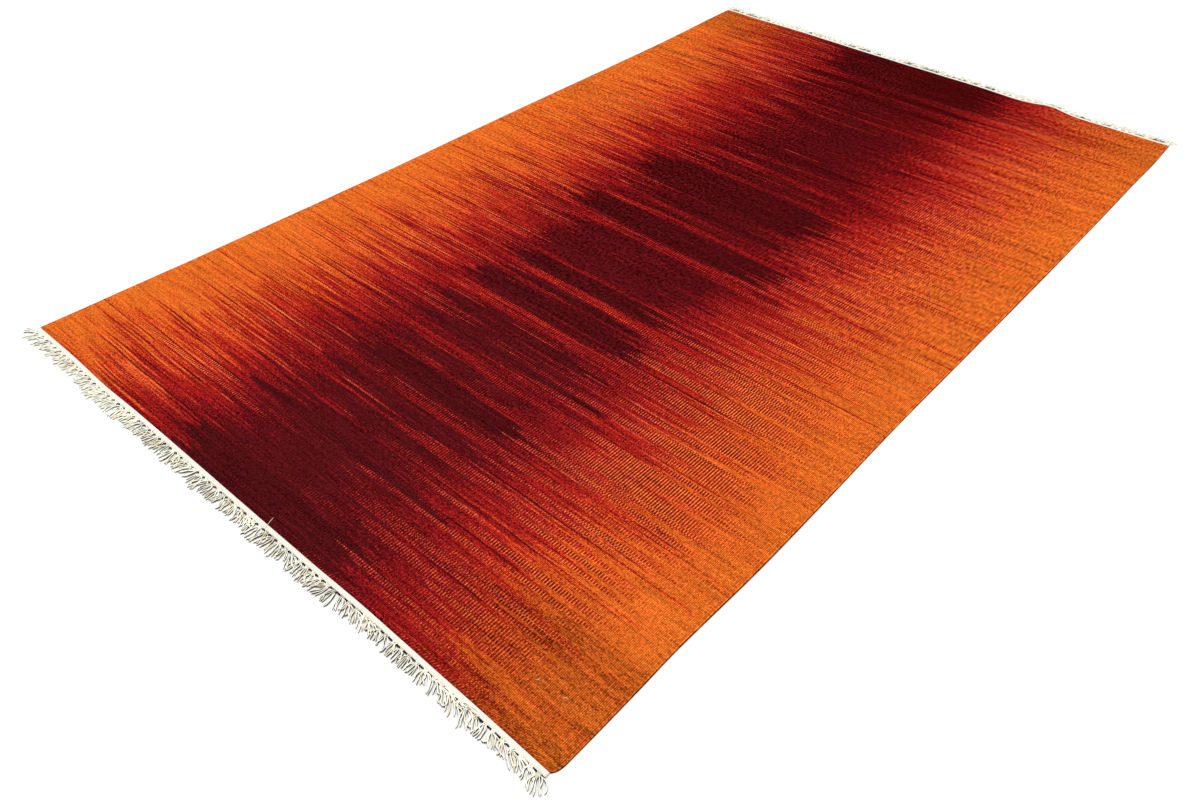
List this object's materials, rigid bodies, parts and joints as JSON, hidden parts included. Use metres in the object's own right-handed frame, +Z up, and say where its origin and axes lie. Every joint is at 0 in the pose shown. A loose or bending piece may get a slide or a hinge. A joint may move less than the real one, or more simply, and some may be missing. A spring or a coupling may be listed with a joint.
{
  "type": "kilim rug",
  "caption": "Flat-woven wool kilim lying flat, with dark centre fading to orange sides across the wefts, cream cotton end bands and knotted fringes.",
  "frame": {"origin": "middle of the whole rug's own box, on the floor", "axes": "+Z up out of the face; Y along the length, fringe to fringe, +Y to the far end; X across the width, along the wefts"},
  "size_m": [1.611, 2.6766, 0.004],
  "materials": {
    "wool_weave": "weft-faced wool plain weave, maroon middle, red and burnt orange sides in long fine streaks",
    "cotton_ends": "undyed cream cotton, plain-woven band and plied knotted fringe"
  },
  "bodies": {
    "root": {"kilim_field": "wool_weave", "near_end_fringe": "cotton_ends", "far_end_fringe": "cotton_ends"}
  },
  "joints": []
}
